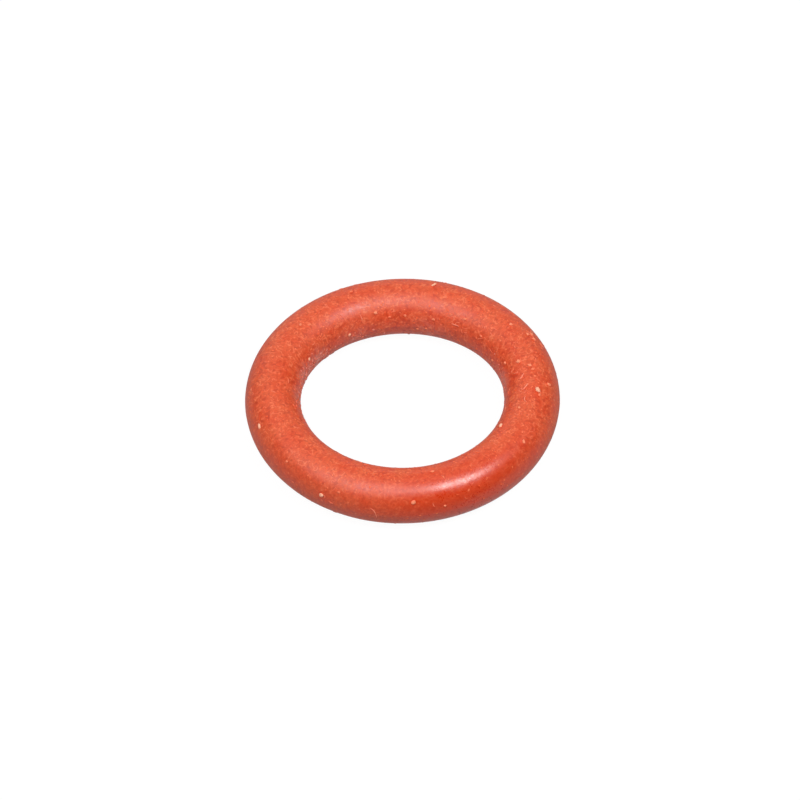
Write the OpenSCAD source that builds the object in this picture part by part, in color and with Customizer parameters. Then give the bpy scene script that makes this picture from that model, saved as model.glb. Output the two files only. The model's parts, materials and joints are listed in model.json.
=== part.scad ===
// Silicone o-ring, moulded in one piece: an endless ring of round section.
// The origin is the centre of the ring, on the plane where the two mould halves met.
// +Z is the ring's axis, so the ring lies flat on its underside.

/* [Ring] */
// Free inside diameter, between the round walls of the section
inside_d = 11; // [6:0.5:40]
// Diameter of the round section
section_d = 3; // [1.6:0.1:5]

/* [Parting line] */
// Height that the trimmed bead of the parting line stands out of the section
bead_h = 0.02; // [0.01:0.005:0.04]
// Width of the bead's crest, along the ring's axis
bead_crest_w = 0.08; // [0.04:0.01:0.16]
// Angle between the bead's sides and the ring's axis
bead_side_angle = 35; // [30:5:60]

/* [Hidden] */
// Radius of the round section
section_r = section_d / 2;
// Radius of the circle that the section's centre follows
pitch_r = inside_d / 2 + section_r;
// Depth at which the bead's profile starts, inside the section
bead_root = bead_h;
// Half the width of the bead's profile at that depth
bead_foot = bead_crest_w / 2 + (bead_h + bead_root) / tan(bead_side_angle);
// Sides of the section and of the ring, where a mesh is made of them
section_fn = 96;
ring_fn = 240;
silicone_colour = [0.86, 0.30, 0.18];

// Bead of the parting line on the side of the section that faces +X
module bead_profile() {
    crest_x = section_r + bead_h;
    root_x = section_r - bead_root;
    polygon([
        [root_x, -bead_foot],
        [crest_x, -bead_crest_w / 2],
        [crest_x, bead_crest_w / 2],
        [root_x, bead_foot]
    ]);
}

// Section through one side of the ring, centred on its own middle
module section_profile() {
    circle(r = section_r, $fn = section_fn);
    bead_profile();
    rotate(180) bead_profile();
}

module o_ring() {
    color(silicone_colour)
        rotate_extrude($fn = ring_fn)
            translate([pitch_r, 0])
                section_profile();
}

o_ring();
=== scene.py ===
"""Looks of a silicone o-ring that lies flat on a white table.

The ring keeps the frame's size and place. Its surface gets the faint relief of a moulding, a trimmed
parting line and the dust and lint that have settled on it. Part of its colour is painted light: a paler
top, a darker patch on the outer wall at the front right, and a pale reflection of the white table on the
inner wall. Its lengths are written in millimetres and turned into metres by MM.

Places on the ring are a pair of angles, in degrees in the tables. The first goes round the ring from +X
towards +Y, so 90 is the far side and 270 the near side. The second goes round the section from its outer
side, 0, over the top, 90, to the inner side, 180.
"""

import json
import math
import random

import bmesh
import bpy
from mathutils import Matrix, Vector, noise


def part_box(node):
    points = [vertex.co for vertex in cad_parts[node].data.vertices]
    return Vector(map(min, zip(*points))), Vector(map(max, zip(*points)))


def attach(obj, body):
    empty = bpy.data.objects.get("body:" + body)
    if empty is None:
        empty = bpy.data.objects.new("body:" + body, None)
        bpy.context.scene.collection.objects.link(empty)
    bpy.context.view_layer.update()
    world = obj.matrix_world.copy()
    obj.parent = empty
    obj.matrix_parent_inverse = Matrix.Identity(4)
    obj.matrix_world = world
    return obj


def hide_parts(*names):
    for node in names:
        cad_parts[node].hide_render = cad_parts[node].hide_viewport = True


MM = 0.001
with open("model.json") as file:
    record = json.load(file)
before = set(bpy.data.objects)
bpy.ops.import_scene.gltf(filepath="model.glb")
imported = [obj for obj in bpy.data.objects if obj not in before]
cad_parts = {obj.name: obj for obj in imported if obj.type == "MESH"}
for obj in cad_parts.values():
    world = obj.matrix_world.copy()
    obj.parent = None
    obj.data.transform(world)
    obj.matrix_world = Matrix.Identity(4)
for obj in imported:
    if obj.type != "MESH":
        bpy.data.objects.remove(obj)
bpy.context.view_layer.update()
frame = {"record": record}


def mount(name):
    """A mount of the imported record."""
    return next(m for m in frame["record"]["mounts"] if m["name"] == name)


# Sizes of the ring, from the frame
RING_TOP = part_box("o_ring")[1].z / MM
CREST_OUT_R = mount("outside")["dims"]["r_mm"]
CREST_IN_R = mount("bore")["dims"]["r_mm"]
SECTION_R = RING_TOP
PITCH_R = (CREST_OUT_R + CREST_IN_R) / 2
BEAD_H = (CREST_OUT_R - CREST_IN_R) / 2 - SECTION_R

# Camera: what the photograph shows of the ring, in its own pixels, and how the camera is turned
PHOTO_SIZE_PX = 800
RING_CENTRE_PX = (402.6, 400.1)
PITCH_RADIUS_PX = 129.65
FOCAL_LENGTH_PX = 13333
CAMERA_ELEVATION = math.radians(46.9)
CAMERA_ROLL = math.radians(-0.81)
# Width of the camera's sensor in mm, and the distances in metres between which it sees
SENSOR_W = 36
CLIP_SPAN = (0.01, 10)

# Ring mesh: steps round the ring, and steps along each half of the section between its two beads
RING_STEPS = 620
ARC_STEPS = 70


def add_camera():
    """A long lens that sees the ring where the photograph has it."""
    back = Vector((0, -math.cos(CAMERA_ELEVATION), math.sin(CAMERA_ELEVATION)))
    level = Vector((1, 0, 0))
    upright = back.cross(level)
    right = level * math.cos(CAMERA_ROLL) + upright * math.sin(CAMERA_ROLL)
    up = upright * math.cos(CAMERA_ROLL) - level * math.sin(CAMERA_ROLL)
    mm_per_px = PITCH_R / PITCH_RADIUS_PX
    middle = PHOTO_SIZE_PX / 2
    aim = right * (middle - RING_CENTRE_PX[0]) + up * (RING_CENTRE_PX[1] - middle)
    place = (back * FOCAL_LENGTH_PX + aim) * mm_per_px * MM
    data = bpy.data.cameras.new("camera")
    data.sensor_width = SENSOR_W
    data.lens = FOCAL_LENGTH_PX / PHOTO_SIZE_PX * SENSOR_W
    data.clip_start, data.clip_end = CLIP_SPAN
    camera = bpy.data.objects.new("camera", data)
    bpy.context.scene.collection.objects.link(camera)
    camera.matrix_world = Matrix.Translation(place) @ Matrix((right, up, back)).transposed().to_4x4()
    bpy.context.scene.camera = camera


# The ring's surface

# How far the moulded ring departs from a true one: size in mm, and the angle where it stands out most
OVAL = (0.007, 55)
THREE_LOBES = (0.017, 40)
# Unevenness of the surface: wavelength and height in mm
WAVES = (2.6, 0.006)
DIMPLES = (0.45, 0.0016)
# How far the noise of the dimples is shifted, so that they don't follow the waves
DIMPLES_SHIFT = (31, 7, 3)
# Bead of the parting line: half its width with its flanks in mm, where its rows of points lie as shares
# of that, the share of its height that the trimming left, how much that varies, and over what length in mm
BEAD_SPREAD = 0.16
BEAD_ROWS = (-1, -0.75, -0.5, -0.25, 0, 0.25, 0.5, 0.75, 1)
BEAD_LEFT = 0.25
BEAD_VARIES = 0.7
BEAD_WAVE = 0.9


def out_of_round(turn):
    """How far the section's centre lies outside its true circle, in mm, at an angle in radians."""
    oval = OVAL[0] * math.cos(2 * (turn - math.radians(OVAL[1])))
    lobes = THREE_LOBES[0] * math.cos(3 * (turn - math.radians(THREE_LOBES[1])))
    return oval + lobes


def directions(turn, tilt):
    """The directions outwards from the ring's axis and square to its surface, for two angles in radians."""
    out = Vector((math.cos(turn), math.sin(turn), 0))
    return out, out * math.cos(tilt) + Vector((0, 0, math.sin(tilt)))


def relief(point):
    """Height of the surface's unevenness at a point, in mm."""
    waves = WAVES[1] * noise.noise(point / WAVES[0])
    dimples = DIMPLES[1] * noise.noise(point / DIMPLES[0] + Vector(DIMPLES_SHIFT))
    return waves + dimples


def bead(point, tilt):
    """Height in mm of what is left of the parting line's bead at a point of the true surface."""
    share = SECTION_R * math.sin(tilt) / BEAD_SPREAD
    if abs(share) >= 1:
        return 0.0
    trimmed = BEAD_LEFT * (1 + BEAD_VARIES * noise.noise(point / BEAD_WAVE))
    return BEAD_H * trimmed * (1 - share * share) ** 2


def surface(turn, tilt, lift=0.0):
    """A point of the ring's skin in mm, for two angles in radians, raised by lift."""
    out, square = directions(turn, tilt)
    true_point = out * PITCH_R + square * SECTION_R
    height = SECTION_R + relief(true_point) + bead(true_point, tilt) + lift
    return out * (PITCH_R + out_of_round(turn)) + square * height


def section_angles():
    """Angles in radians round the whole section, close together on the two beads."""
    on_bead = [math.asin(share * BEAD_SPREAD / SECTION_R) for share in BEAD_ROWS]
    foot = on_bead[-1]
    step = (math.pi - 2 * foot) / (ARC_STEPS + 1)
    half = on_bead + [foot + step * (i + 1) for i in range(ARC_STEPS)]
    return half + [angle + math.pi for angle in half]


def new_piece(name, points, faces, material, smooth=True):
    """An object made of points in mm and faces, riding on the ring's body."""
    data = bpy.data.meshes.new(name)
    data.from_pydata([point * MM for point in points], [], faces)
    if smooth:
        data.shade_smooth()
    else:
        data.shade_flat()
    data.materials.append(material)
    piece = bpy.data.objects.new(name, data)
    bpy.context.scene.collection.objects.link(piece)
    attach(piece, "root")
    return piece


def add_ring(material):
    """The moulded ring, in place of the plain solid."""
    tilts = section_angles()
    rows = len(tilts)
    points = []
    faces = []
    for step in range(RING_STEPS):
        turn = 2 * math.pi * step / RING_STEPS
        points += [surface(turn, tilt) for tilt in tilts]
        here = step * rows
        ahead = (step + 1) % RING_STEPS * rows
        for i in range(rows):
            j = (i + 1) % rows
            faces.append((here + i, ahead + i, ahead + j, here + j))
    ring = new_piece("silicone_ring", points, faces, material)
    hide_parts("o_ring")


# Dust and lint

# Crumbs: how high their middle lies above the skin, as a share of their height, and how jagged they are
CRUMB_LIFT = 0.3
CRUMB_JAG = 0.15
# Threads: length of a step along them in mm, the least number of steps, the sides of their section, how far
# each step strays in radians, how high their middle lies above the skin as a share of their thickness, the
# share of it that is left at their ends, and the share of their length over which they get thinner
FIBRE_STEP = 0.05
FIBRE_LEAST_STEPS = 6
FIBRE_SIDES = 6
FIBRE_STRAYS = 0.12
FIBRE_LIFT = 0.2
FIBRE_END = 0.45
FIBRE_TAPER = 0.2


def unit_ball(rounds):
    """Corners and faces of a ball that is one unit across."""
    mesh = bmesh.new()
    bmesh.ops.create_icosphere(mesh, subdivisions=rounds, radius=0.5)
    mesh.verts.index_update()
    corners = [vert.co.copy() for vert in mesh.verts]
    faces = [[vert.index for vert in face.verts] for face in mesh.faces]
    mesh.free()
    return corners, faces


def add_crumb(shape, ball, turn, tilt, size, heading, rng):
    """A small jagged crumb that sits on the skin, added to a shape's points and faces.

    size is its length, width and height in mm, and the angles are in radians.
    """
    points, faces = shape
    corners, ball_faces = ball
    out, square = directions(turn, tilt)
    around = Vector((-math.sin(turn), math.cos(turn), 0))
    along = around * math.cos(heading) + square.cross(around) * math.sin(heading)
    across = square.cross(along)
    centre = surface(turn, tilt, size[2] * CRUMB_LIFT)
    faces += [[len(points) + i for i in face] for face in ball_faces]
    for corner in corners:
        jag = corner * (1 + rng.uniform(-CRUMB_JAG, CRUMB_JAG))
        points.append(centre + along * jag.x * size[0] + across * jag.y * size[1] + square * jag.z * size[2])


def add_fibre(shape, turn, tilt, length, thickness, heading, bend, rng):
    """A short thread that lies on the skin, added to a shape's points and faces.

    length and thickness are in mm and the angles in radians. bend is how far the whole thread turns.
    """
    points, faces = shape
    steps = max(FIBRE_LEAST_STEPS, int(length / FIBRE_STEP))
    step = length / steps
    heading -= bend / 2
    walk = []
    for _ in range(steps + 1):
        walk.append((turn, tilt))
        heading += bend / steps + rng.uniform(-FIBRE_STRAYS, FIBRE_STRAYS)
        turn += step * math.cos(heading) / (PITCH_R + SECTION_R * math.cos(tilt))
        tilt += step * math.sin(heading) / SECTION_R
    spine = [surface(a, b, thickness * FIBRE_LIFT) for a, b in walk]
    first = len(points)
    for i, place in enumerate(walk):
        square = directions(*place)[1]
        ahead = (spine[min(i + 1, steps)] - spine[max(i - 1, 0)]).normalized()
        side = square.cross(ahead)
        from_end = min(i, steps - i) / steps
        radius = thickness / 2 * (FIBRE_END + (1 - FIBRE_END) * min(1, from_end / FIBRE_TAPER))
        for k in range(FIBRE_SIDES):
            angle = 2 * math.pi * k / FIBRE_SIDES
            points.append(spine[i] + (side * math.cos(angle) + square * math.sin(angle)) * radius)
    for i in range(steps):
        here = first + i * FIBRE_SIDES
        after = here + FIBRE_SIDES
        for k in range(FIBRE_SIDES):
            n = (k + 1) % FIBRE_SIDES
            faces.append((here + k, here + n, after + n, after + k))
    last = first + steps * FIBRE_SIDES
    faces.append(tuple(range(first + FIBRE_SIDES - 1, first - 1, -1)))
    faces.append(tuple(range(last, last + FIBRE_SIDES)))


# Flecks that stand out: place in degrees, length and width in mm, and heading in degrees
PALE_FLECKS = [
    (238.5, 14, 0.24, 0.23, 10),
    (199, 39, 0.36, 0.17, -14),
    (354, 77, 0.38, 0.25, 27),
    (329, 124, 0.34, 0.20, 20),
    (76, 75, 0.42, 0.16, 68),
    (153, 156, 0.19, 0.14, 80),
    (121, 172, 0.19, 0.14, 70),
]
SALMON_FLECKS = [
    (273.5, 33, 0.28, 0.22, 40),
    (104, 141, 0.20, 0.16, 0),
    (12.5, 111.5, 0.28, 0.24, 0),
    (326, 57, 0.24, 0.17, 60),
    (27, 65.5, 0.24, 0.20, 20),
    (27, 55, 0.22, 0.16, 60),
    (24, 58, 0.24, 0.18, 0),
    (359, 53, 0.28, 0.18, 80),
    (34.5, 84, 0.22, 0.17, 0),
    (8.5, 92, 0.22, 0.17, 60),
    (6, 86.5, 0.22, 0.17, 110),
    (351.5, 72, 0.20, 0.14, 0),
    (342, 105, 0.20, 0.15, 50),
    (17.5, 141, 0.20, 0.15, 0),
    (28, 170, 0.18, 0.12, 40),
    (55, 132.5, 0.17, 0.14, 0),
    (42, 145.5, 0.17, 0.14, 0),
    (72, 155, 0.17, 0.14, 0),
    (88, 153, 0.16, 0.13, 0),
    (96.5, 154.5, 0.16, 0.13, 0),
    (81, 186, 0.16, 0.12, 30),
    (76, 181, 0.14, 0.11, 0),
    (139, 105, 0.19, 0.15, 0),
    (142, 92.5, 0.19, 0.15, 40),
    (112, 81, 0.18, 0.14, 0),
    (220, 38, 0.16, 0.12, 0),
    (245, 34, 0.16, 0.12, 0),
    (285, 16, 0.15, 0.11, 0),
    (283, 96, 0.22, 0.13, 10),
]
# Threads that stand out: place, length and thickness in mm, heading and bend in degrees
FIBRES = [
    (1.5, 115, 0.40, 0.065, -45, 0),
    (354, 107, 0.46, 0.065, -20, 10),
    (354, 107, 0.20, 0.05, 65, 0),
    (346, 94, 0.50, 0.05, 30, -90),
    (61.5, 153, 0.46, 0.05, 180, -20),
    (112, 150, 0.36, 0.045, -85, 10),
    (257.5, 16, 0.80, 0.045, -60, -60),
]
# Where dust has gathered: place and spread in degrees, and how thickly it lies, next to DUST_ALL_OVER
DUSTY_PLACES = [
    (10, 95, 45, 40, 0.9),
    (95, 155, 60, 25, 0.9),
    (185, 155, 40, 30, 0.6),
    (325, 100, 30, 35, 0.4),
]
DUST_ALL_OVER = 0.3
# Where the inner wall looks frosted by pale dust: the same, with nothing outside these places
FROSTED_PLACES = [
    (162, 174, 14, 13, 1.0),
    (138, 190, 22, 14, 0.6),
    (100, 200, 35, 13, 0.2),
    (195, 168, 20, 12, 0.25),
    (12, 168, 9, 10, 0.5),
]
# Scattered dust: how many of each, and their lengths in mm as the least, the greatest and the most common
FINE_CRUMBS = 900
FINE_LENGTHS = (0.05, 0.16, 0.08)
FROST_CRUMBS = 170
FROST_LENGTHS = (0.07, 0.22, 0.11)
FINE_THREADS = 200
THREAD_LENGTHS = (0.12, 0.4, 0.18)
# Angles round the section at which dust is scattered, given in the same way, in degrees
SCATTER_TILTS = (-60, 240, 100)
# Width and height of a scattered crumb as shares of its length, and height of a fleck as a share of its width
CRUMB_WIDTHS = (0.5, 1)
CRUMB_HEIGHT = 0.18
FLECK_HEIGHT = 0.6
# Thickness of a scattered thread in mm, the factors between which it varies, and its greatest bend in radians
THREAD_THICKNESS = 0.036
THREAD_VARIES = (0.6, 1.3)
THREAD_BEND = 1.5
# Colours of dust and lint, each with its palest and its darkest tone
PALE_DUST = ((1.0, 0.54, 0.36), (1.0, 0.45, 0.28))
SALMON_DUST = ((1.0, 0.34, 0.19), (0.96, 0.22, 0.11))
FINE_DUST = ((0.96, 0.24, 0.12), (0.90, 0.15, 0.065))
FROST_DUST = ((1.0, 0.40, 0.31), (0.97, 0.24, 0.16))
PALE_LINT = ((1.0, 0.37, 0.25), (0.98, 0.28, 0.17))
LINT = ((0.94, 0.28, 0.17), (0.90, 0.18, 0.09))
SEED = 8315


def dustiness(turn, tilt, everywhere, places):
    """How thickly dust lies at a place given in degrees."""
    amount = everywhere
    for at_turn, at_tilt, turn_spread, tilt_spread, thickness in places:
        aside = (turn - at_turn + 180) % 360 - 180
        amount += thickness * math.exp(-((aside / turn_spread) ** 2) - ((tilt - at_tilt) / tilt_spread) ** 2)
    return amount


def dusty_place(rng, everywhere, places):
    """A random place in radians, drawn more often where dust lies thickly."""
    while True:
        turn = rng.uniform(0, 360)
        tilt = rng.triangular(*SCATTER_TILTS)
        if rng.random() < dustiness(turn, tilt, everywhere, places):
            return math.radians(turn), math.radians(tilt)


def add_flecks(name, places, material, rng):
    """Flecks where the photograph has them."""
    shape = ([], [])
    ball = unit_ball(2)
    for turn, tilt, length, width, heading in places:
        size = (length, width, width * FLECK_HEIGHT)
        add_crumb(shape, ball, math.radians(turn), math.radians(tilt), size, math.radians(heading), rng)
    new_piece(name, *shape, material, smooth=False)


def add_fine_dust(name, count, lengths, everywhere, places, material, rng):
    """Small crumbs scattered at random."""
    shape = ([], [])
    ball = unit_ball(1)
    for _ in range(count):
        turn, tilt = dusty_place(rng, everywhere, places)
        length = rng.triangular(*lengths)
        size = (length, length * rng.uniform(*CRUMB_WIDTHS), length * CRUMB_HEIGHT)
        add_crumb(shape, ball, turn, tilt, size, rng.uniform(0, math.pi), rng)
    new_piece(name, *shape, material, smooth=False)


def add_fibres(material, rng):
    """Threads where the photograph has them."""
    shape = ([], [])
    for turn, tilt, length, thickness, heading, bend in FIBRES:
        angles = [math.radians(v) for v in (turn, tilt, heading, bend)]
        add_fibre(shape, angles[0], angles[1], length, thickness, angles[2], angles[3], rng)
    new_piece("lint_fibres", *shape, material)


def add_threads(material, rng):
    """Short threads of lint scattered at random."""
    shape = ([], [])
    for _ in range(FINE_THREADS):
        turn, tilt = dusty_place(rng, DUST_ALL_OVER, DUSTY_PLACES)
        length = rng.triangular(*THREAD_LENGTHS)
        thickness = THREAD_THICKNESS * rng.uniform(*THREAD_VARIES)
        heading = rng.uniform(0, math.pi)
        bend = rng.uniform(-THREAD_BEND, THREAD_BEND)
        add_fibre(shape, turn, tilt, length, thickness, heading, bend, rng)
    new_piece("lint_threads", *shape, material)


def add_dust():
    """Everything that has settled on the ring."""
    rng = random.Random(SEED)
    pale = dust_material("pale_dust", *PALE_DUST)
    salmon = dust_material("salmon_dust", *SALMON_DUST)
    fine = dust_material("fine_dust", *FINE_DUST)
    frost = dust_material("frost_dust", *FROST_DUST)
    add_flecks("pale_flecks", PALE_FLECKS, pale, rng)
    add_flecks("salmon_flecks", SALMON_FLECKS, salmon, rng)
    add_fine_dust("fine_dust", FINE_CRUMBS, FINE_LENGTHS, DUST_ALL_OVER, DUSTY_PLACES, fine, rng)
    add_fine_dust("frost_dust", FROST_CRUMBS, FROST_LENGTHS, 0, FROSTED_PLACES, frost, rng)
    add_fibres(dust_material("pale_lint", *PALE_LINT), rng)
    add_threads(dust_material("lint", *LINT), rng)


# Materials

def add_node(tree, kind, **values):
    """A node of that kind with its properties and inputs set."""
    node = tree.nodes.new(kind)
    for name, value in values.items():
        socket = name.replace("_", " ").title()
        if socket in node.inputs:
            node.inputs[socket].default_value = value
        else:
            setattr(node, name, value)
    return node


def new_material(name, colour, roughness):
    """A material with its tree and its shader."""
    material = bpy.data.materials.new(name)
    material.use_nodes = True
    shader = material.node_tree.nodes["Principled BSDF"]
    shader.inputs["Base Color"].default_value = (*colour, 1)
    shader.inputs["Roughness"].default_value = roughness
    return material, material.node_tree, shader


def map_range(tree, value, low, high, to_low=0.0, to_high=1.0):
    """A value stretched from one range to another, and kept inside it."""
    node = tree.nodes.new("ShaderNodeMapRange")
    node.inputs["From Min"].default_value = low
    node.inputs["From Max"].default_value = high
    node.inputs["To Min"].default_value = to_low
    node.inputs["To Max"].default_value = to_high
    tree.links.new(value, node.inputs["Value"])
    return node.outputs["Result"]


def mix_shaders(tree, share, first, second):
    """Two shaders mixed. share is a number or a node's output."""
    node = tree.nodes.new("ShaderNodeMixShader")
    if isinstance(share, float):
        node.inputs["Fac"].default_value = share
    else:
        tree.links.new(share, node.inputs["Fac"])
    tree.links.new(first, node.inputs[1])
    tree.links.new(second, node.inputs[2])
    return node.outputs["Shader"]


def mix_colours(tree, share, first, second):
    """Two colours mixed. Each is a colour or a node's output."""
    node = add_node(tree, "ShaderNodeMix", data_type="RGBA")
    tree.links.new(share, node.inputs["Factor"])
    for name, colour in (("A", first), ("B", second)):
        socket = next(i for i in node.inputs if i.name == name and i.type == "RGBA")
        if isinstance(colour, tuple):
            socket.default_value = (*colour, 1)
        else:
            tree.links.new(colour, socket)
    return next(o for o in node.outputs if o.type == "RGBA")


def calculate(tree, operation, first, second):
    """Two values put together by an operation of the Math node."""
    node = add_node(tree, "ShaderNodeMath", operation=operation)
    tree.links.new(first, node.inputs[0])
    tree.links.new(second, node.inputs[1])
    return node.outputs["Value"]


def multiply(tree, first, second):
    """The product of two values."""
    return calculate(tree, "MULTIPLY", first, second)


def maximum(tree, first, second):
    """The greater of two values."""
    return calculate(tree, "MAXIMUM", first, second)


def texture_in_mm(tree, kind, **values):
    """A texture whose coordinates are the object's own, in mm."""
    where = tree.nodes.new("ShaderNodeTexCoord")
    in_mm = tree.nodes.new("ShaderNodeMapping")
    in_mm.inputs["Scale"].default_value = (1 / MM, 1 / MM, 1 / MM)
    texture = add_node(tree, kind, **values)
    tree.links.new(where.outputs["Object"], in_mm.inputs["Vector"])
    tree.links.new(in_mm.outputs["Vector"], texture.inputs["Vector"])
    return texture


def noise_in_mm(tree, **values):
    """The values of a noise texture whose coordinates are the object's own, in mm."""
    return texture_in_mm(tree, "ShaderNodeTexNoise", **values).outputs["Fac"]


# Colours of the silicone: bare, which is darker and is also painted shade on the wiped patch, where its grain
# is darkest and palest, of the streaks, specks and pits on it, of the thin film of dust that has settled on
# it, which is thicker on top and there is also painted light, and of the frosted stretches of its inner wall,
# pale dust together with a painted reflection of the white table
SILICONE_AND_SHADE = (0.69, 0.040, 0.004)
GRAIN_DARK = (0.67, 0.045, 0.005)
GRAIN_PALE = (0.81, 0.087, 0.020)
STREAK = (0.93, 0.19, 0.080)
SPECK = (0.93, 0.18, 0.07)
PIT = (0.61, 0.036, 0.004)
DUST_FILM_AND_TOP_LIGHT = (0.95, 0.38, 0.12)
FROST_AND_REFLECTION = (0.76, 0.34, 0.29)
# Gloss of the silicone, the share of light that goes into it, how far red, green and blue go as shares of the
# depth, and the depth in mm
IOR = 1.5
GLOSS = 0.8
SOFT_SHARE = 0.08
SOFT_COLOURS = (1.0, 0.25, 0.1)
SOFT_DEPTH = 0.3
# Grain: values of the noise where it is darkest and palest, the span of the fine noise that is added to it,
# and the most that this adds or takes off
GRAIN_SPAN = (0.36, 0.64)
FINE_GRAIN_SPAN = (0.25, 0.75)
FINE_GRAIN = 0.09
# Height of the grain in mm, and how much of it shows
BUMP_HEIGHT = 0.01
BUMP_STRENGTH = 0.6
# Pits: values of the noise where they start and where they are darkest
PIT_SPAN = (0.60, 0.74)
# Specks: where they start to fade and where they end, in cells of the texture, the share of the cells that
# has none, and how much of their colour the palest have
SPECK_FADE = (0.1, 0.45)
SPECK_NONE = 0.5
SPECK_STRENGTH = 0.9
# Streaks: values of the noise where they start and where they are full, the same for the noise that breaks
# them up and for the patches with more of them, what is left of them elsewhere, and how strong they are
STREAK_SPAN = (0.72, 0.95)
STREAK_BREAKS = (0.46, 0.56)
STREAK_PATCHES = (0.35, 0.6)
STREAK_LEFT = 0.4
STREAK_STRENGTH = 0.85
# Where streaks and pits get fainter on the outer wall, in mm from the ring's axis, and what is left of them
CALM_FROM_AXIS = (8.0, 8.4)
CALM_SHARE = 0.35
# Film of dust: its share on upright walls and on the top, where the thicker film also paints the top paler as
# painted light, how far the surface faces up there, and values of the noise where the film is thinnest and
# thickest, with the factors there
FILM_ON_WALLS = 0.04
FILM_AND_PAINTED_LIGHT_ON_TOP = 0.06
FACING_UP = (0.2, 0.9)
FILM_PATCHES = (0.35, 0.65)
FILM_VARIES = (0.3, 1.7)
# Patch of the outer wall at the front right that is wiped clean and glossier, and mixed towards the darker
# bare
# colour, which is painted shade: place in degrees, where it ends in mm from there and from the ring's axis,
# how much of the film is left in its middle, and how much of the grain
CLEAN_AND_SHADED_PATCH = (295, 46)
CLEAN_AND_SHADED_RADII = (1.8, 6.0)
CLEAN_AND_SHADED_FROM_AXIS = (6.7, 7.6)
CLEAN_FILM = 0.15
CLEAN_GRAIN_AND_SHADE = 0.45
# Where the inner wall looks frosted, by pale dust and by a painted reflection of the white table: place in
# degrees, how far it reaches in mm, and the share of that pale dust and reflection
FROST_AND_REFLECTION_FILMS = [
    (163, 180, 1.2, 0.5),
    (147, 190, 1.2, 0.4),
    (118, 200, 1.5, 0.2),
    (75, 196, 1.6, 0.15),
    (8, 172, 1.0, 0.35),
    (182, 158, 1.0, 0.2),
]
# Values of the noise where that pale dust and painted reflection are thinnest and thickest, with the factors
# there
FROST_AND_REFLECTION_BLOTCHES = (0.38, 0.62)
FROST_AND_REFLECTION_VARIES = (0.3, 1.6)
# Roughness where the ring is clean and where it is dusty, values of the noise where its patches are smoothest
# and roughest with the factors there, and the factors where the grain is darkest and palest
ROUGH_CLEAN = 0.31
ROUGH_DUSTY = 0.50
ROUGH_PATCHES = (0.3, 0.7)
ROUGH_BY_PATCH = (0.88, 1.12)
ROUGH_BY_GRAIN = (0.85, 1.15)
# Roughness and gloss of dust and lint, and values of the noise where their tones are darkest and palest
DUST_ROUGHNESS = 0.9
DUST_GLOSS = 0.1
DUST_TONES = (0.3, 0.7)


def by_axis_distance(tree, span, near_value, far_value):
    """A value that changes from one to another over a span of distances from the ring's axis, in mm."""
    where = tree.nodes.new("ShaderNodeTexCoord")
    flat = add_node(tree, "ShaderNodeVectorMath", operation="MULTIPLY")
    flat.inputs[1].default_value = (1, 1, 0)
    from_axis = add_node(tree, "ShaderNodeVectorMath", operation="LENGTH")
    tree.links.new(where.outputs["Object"], flat.inputs[0])
    tree.links.new(flat.outputs["Vector"], from_axis.inputs[0])
    return map_range(tree, from_axis.outputs["Value"], span[0] * MM, span[1] * MM, near_value, far_value)


def close_to(tree, place, near, far, most):
    """A value that falls from most to 0 between two distances in mm from a place in degrees."""
    where = tree.nodes.new("ShaderNodeTexCoord")
    away = add_node(tree, "ShaderNodeVectorMath", operation="DISTANCE")
    away.inputs[1].default_value = surface(*[math.radians(v) for v in place]) * MM
    tree.links.new(where.outputs["Object"], away.inputs[0])
    return map_range(tree, away.outputs["Value"], near * MM, far * MM, most, 0.0)


def clean_and_shaded_share(tree):
    """How far a point is in the wiped patch, which is also painted shade, from 0 outside to 1 in its middle.
    """
    close_by = close_to(tree, CLEAN_AND_SHADED_PATCH, *CLEAN_AND_SHADED_RADII, 1.0)
    return multiply(tree, close_by, by_axis_distance(tree, CLEAN_AND_SHADED_FROM_AXIS, 0.0, 1.0))


def frost_and_reflection_share(tree):
    """How thickly pale dust and a painted reflection of the white table lie on the frosted stretches of the
    inner wall, blotchy, from 0 to 1.
    """
    blotches = noise_in_mm(tree, scale=3.2, detail=1.0)
    films = [close_to(tree, (turn, tilt), 0.0, reach, share) for turn, tilt, reach, share in FROST_AND_REFLECTION_FILMS]
    thickest = films[0]
    for film in films[1:]:
        thickest = maximum(tree, thickest, film)
    return multiply(tree, thickest, map_range(tree, blotches, *FROST_AND_REFLECTION_BLOTCHES, *FROST_AND_REFLECTION_VARIES))


def upward_share(tree, low, high):
    """A value that goes from low on upright walls to high where the surface faces up, and stays low below."""
    geometry = tree.nodes.new("ShaderNodeNewGeometry")
    parts = tree.nodes.new("ShaderNodeSeparateXYZ")
    tree.links.new(geometry.outputs["Normal"], parts.inputs["Vector"])
    return map_range(tree, parts.outputs["Z"], *FACING_UP, low, high)


def specks(tree):
    """Small round specks, SPECK_STRENGTH in the middle of the palest and 0 between them."""
    cells = texture_in_mm(tree, "ShaderNodeTexVoronoi", scale=5.0)
    middle = map_range(tree, cells.outputs["Distance"], *SPECK_FADE, 1.0, 0.0)
    parts = tree.nodes.new("ShaderNodeSeparateColor")
    tree.links.new(cells.outputs["Color"], parts.inputs["Color"])
    return multiply(tree, middle, map_range(tree, parts.outputs["Red"], SPECK_NONE, 1.0, 0.0, SPECK_STRENGTH))


def streaks(tree, patches, strength):
    """Short thin curved streaks of dust, up to STREAK_STRENGTH on their middle line."""
    ridges = noise_in_mm(tree, noise_type="RIDGED_MULTIFRACTAL", scale=4.0, detail=0.0, offset=1.0)
    breaks = noise_in_mm(tree, scale=2.8, detail=1.0)
    lines = map_range(tree, ridges, *STREAK_SPAN)
    lines = multiply(tree, lines, map_range(tree, patches, *STREAK_PATCHES, STREAK_LEFT, 1.0))
    lines = multiply(tree, lines, strength)
    return multiply(tree, lines, map_range(tree, breaks, *STREAK_BREAKS, 0.0, STREAK_STRENGTH))


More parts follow.
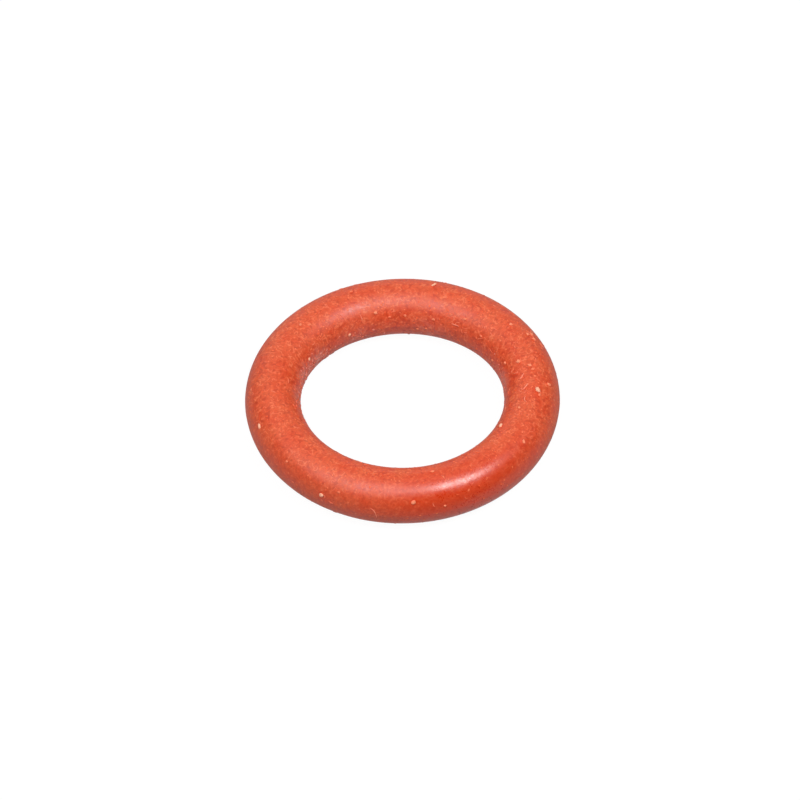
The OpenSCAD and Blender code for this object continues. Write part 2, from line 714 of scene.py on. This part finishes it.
def silicone_material():
    """Orange-red silicone: satin, finely grained, with a thin film of dust that is thickest on top, where it
    is also painted light, a wiped patch in a darker red that is partly painted shade, and a pale painted
    reflection of the white table on the inner wall.
    """
    material, tree, shader = new_material("silicone", SILICONE_AND_SHADE, ROUGH_DUSTY)
    shader.inputs["IOR"].default_value = IOR
    shader.inputs["Specular IOR Level"].default_value = GLOSS
    shader.inputs["Subsurface Weight"].default_value = SOFT_SHARE
    shader.inputs["Subsurface Radius"].default_value = SOFT_COLOURS
    shader.inputs["Subsurface Scale"].default_value = SOFT_DEPTH * MM

    coarse = noise_in_mm(tree, scale=4.2, detail=2.0, roughness=0.9)
    fine = noise_in_mm(tree, scale=11.0, detail=0.0)
    grain = calculate(tree, "ADD", coarse, map_range(tree, fine, *FINE_GRAIN_SPAN, -FINE_GRAIN, FINE_GRAIN))
    pits = noise_in_mm(tree, scale=4.8, detail=0.0)
    patches = noise_in_mm(tree, scale=1.0, detail=3.0, roughness=0.6)
    clean_and_shaded = clean_and_shaded_share(tree)

    grained = mix_colours(tree, map_range(tree, grain, *GRAIN_SPAN), GRAIN_DARK, GRAIN_PALE)
    strength = by_axis_distance(tree, CALM_FROM_AXIS, 1.0, CALM_SHARE)
    streaked = mix_colours(tree, streaks(tree, patches, strength), grained, STREAK)
    speckled = mix_colours(tree, specks(tree), streaked, SPECK)
    pitted = mix_colours(tree, multiply(tree, map_range(tree, pits, *PIT_SPAN), strength), speckled, PIT)
    patchy = map_range(tree, patches, *FILM_PATCHES, *FILM_VARIES)
    # painted light: the dust film is thicker where the surface faces up, which makes the top paler
    film = multiply(tree, upward_share(tree, FILM_ON_WALLS, FILM_AND_PAINTED_LIGHT_ON_TOP), patchy)
    film = multiply(tree, film, map_range(tree, clean_and_shaded, 0.0, 1.0, 1.0, CLEAN_FILM))
    # painted shade: towards its middle the wiped patch is mixed with the darker, deeper red bare colour
    wiped_and_shaded = mix_colours(tree, map_range(tree, clean_and_shaded, 0.0, 1.0, 0.0, 1 - CLEAN_GRAIN_AND_SHADE), pitted, SILICONE_AND_SHADE)
    dusted = mix_colours(tree, film, wiped_and_shaded, DUST_FILM_AND_TOP_LIGHT)
    # painted reflection: the pale colour on the lower inner wall is pale dust together with a painted
    # reflection of the white table
    tree.links.new(mix_colours(tree, frost_and_reflection_share(tree), dusted, FROST_AND_REFLECTION), shader.inputs["Base Color"])

    satin = map_range(tree, clean_and_shaded, 0.0, 1.0, ROUGH_DUSTY, ROUGH_CLEAN)
    uneven = map_range(tree, patches, *ROUGH_PATCHES, *ROUGH_BY_PATCH)
    uneven = multiply(tree, uneven, map_range(tree, grain, *GRAIN_SPAN, *ROUGH_BY_GRAIN))
    tree.links.new(multiply(tree, satin, uneven), shader.inputs["Roughness"])

    bump = tree.nodes.new("ShaderNodeBump")
    bump.inputs["Strength"].default_value = BUMP_STRENGTH
    bump.inputs["Distance"].default_value = BUMP_HEIGHT * MM
    tree.links.new(grain, bump.inputs["Height"])
    tree.links.new(bump.outputs["Normal"], shader.inputs["Normal"])
    return material


def dust_material(name, pale, dark):
    """Dry dust or lint whose tone differs from place to place."""
    material, tree, shader = new_material(name, pale, DUST_ROUGHNESS)
    shader.inputs["Specular IOR Level"].default_value = DUST_GLOSS
    tones = noise_in_mm(tree, scale=4.0, detail=0.0)
    colour = mix_colours(tree, map_range(tree, tones, *DUST_TONES), dark, pale)
    tree.links.new(colour, shader.inputs["Base Color"])
    return material


# Table, lamps and surroundings

# Width of the table in metres
FLOOR_SIZE = 0.6
# Colour of the table where the camera sees it, and for the light that it gives back to the ring
FLOOR_WHITE = 0.9
FLOOR_BOUNCE = 0.48
# Share of the white that the camera sees whether or not the ring shades it, and how bright that is
FLOOR_GLOW_SHARE = 0.94
FLOOR_GLOW = 1.03
# How bright the table is in the ring's gloss, far in front of the ring and from its front edge on, where 1 is
# white, and the span in between, in mm along Y
FLOOR_IN_GLOSS = (0.08, 0.55)
FLOOR_FADE = (-12.5, -8.8)
# How bright the surroundings are in the ring's gloss
SURROUNDINGS_IN_GLOSS = 0.07
# Distance of the lamps from the ring in metres, and for each its name, the direction it stands in, the width
# and depth of its face in metres, and how bright that is, where 1 is the white of the picture
LAMP_DISTANCE = 0.5
LAMPS = [
    ("left", (-0.43, -0.33, 0.84), (0.34, 0.34), 3.2),
    ("right_core", (0.41, -0.28, 0.87), (0.16, 0.14), 14.5),
    ("right_glow", (0.43, -0.22, 0.88), (0.24, 0.32), 1.5),
    ("front", (0.03, -0.46, 0.89), (0.26, 0.12), 2.2),
    ("rear", (-0.10, 0.95, 0.30), (0.62, 0.18), 1.05),
    ("overhead", (-0.25, 0.08, 0.96), (0.55, 0.90), 0.42),
]


def add_floor():
    """A white table top, plain white to the camera except where the ring shades it."""
    half = FLOOR_SIZE / 2
    corners = ((-half, -half), (half, -half), (half, half), (-half, half))
    data = bpy.data.meshes.new("table_top")
    data.from_pydata([(x, y, -RING_TOP * MM) for x, y in corners], [], [(0, 1, 2, 3)])
    material = bpy.data.materials.new("table_white")
    material.use_nodes = True
    tree = material.node_tree
    tree.nodes.clear()
    bounce = add_node(tree, "ShaderNodeBsdfDiffuse", color=(FLOOR_BOUNCE, FLOOR_BOUNCE, FLOOR_BOUNCE, 1))
    paper = add_node(tree, "ShaderNodeBsdfDiffuse", color=(FLOOR_WHITE, FLOOR_WHITE, FLOOR_WHITE, 1))
    glow = add_node(tree, "ShaderNodeEmission", strength=FLOOR_GLOW)
    white = mix_shaders(tree, FLOOR_GLOW_SHARE, paper.outputs["BSDF"], glow.outputs["Emission"])

    where = tree.nodes.new("ShaderNodeTexCoord")
    parts = tree.nodes.new("ShaderNodeSeparateXYZ")
    tree.links.new(where.outputs["Object"], parts.inputs["Vector"])
    start, end = FLOOR_FADE
    mirrored = tree.nodes.new("ShaderNodeEmission")
    brightness = map_range(tree, parts.outputs["Y"], start * MM, end * MM, *FLOOR_IN_GLOSS)
    tree.links.new(brightness, mirrored.inputs["Strength"])
    path = tree.nodes.new("ShaderNodeLightPath")
    in_gloss = path.outputs["Is Glossy Ray"]
    unseen = mix_shaders(tree, in_gloss, bounce.outputs["BSDF"], mirrored.outputs["Emission"])
    table_top = mix_shaders(tree, path.outputs["Is Camera Ray"], unseen, white)
    out = tree.nodes.new("ShaderNodeOutputMaterial")
    tree.links.new(table_top, out.inputs["Surface"])
    data.materials.append(material)
    floor = bpy.data.objects.new("table_top", data)
    bpy.context.scene.collection.objects.link(floor)


def add_lamp(name, aim, size, brightness):
    """A soft lamp that faces the ring. LAMPS says what the values are."""
    towards = Vector(aim).normalized()
    data = bpy.data.lights.new(name, "AREA")
    data.shape = "RECTANGLE"
    data.size, data.size_y = size
    data.energy = brightness * math.pi * size[0] * size[1]
    lamp = bpy.data.objects.new(name, data)
    across = Vector((1, 0, 0))
    up = towards.cross(across).normalized()
    across = up.cross(towards)
    place = Matrix.Translation(towards * LAMP_DISTANCE)
    lamp.matrix_world = place @ Matrix((across, up, towards)).transposed().to_4x4()
    bpy.context.scene.collection.objects.link(lamp)


def add_world():
    """Surroundings that are white to the camera, faint in the ring's gloss and otherwise dark."""
    world = bpy.data.worlds.new("surroundings")
    world.use_nodes = True
    tree = world.node_tree
    path = tree.nodes.new("ShaderNodeLightPath")
    faint = map_range(tree, path.outputs["Is Glossy Ray"], 0.0, 1.0, 0.0, SURROUNDINGS_IN_GLOSS)
    seen = maximum(tree, path.outputs["Is Camera Ray"], path.outputs["Is Transmission Ray"])
    background = tree.nodes["Background"]
    background.inputs["Color"].default_value = (1, 1, 1, 1)
    tree.links.new(maximum(tree, seen, faint), background.inputs["Strength"])
    bpy.context.scene.world = world


add_camera()
add_ring(silicone_material())
add_dust()
add_floor()
for lamp_values in LAMPS:
    add_lamp(*lamp_values)
add_world()
bpy.context.scene.view_settings.view_transform = "Standard"
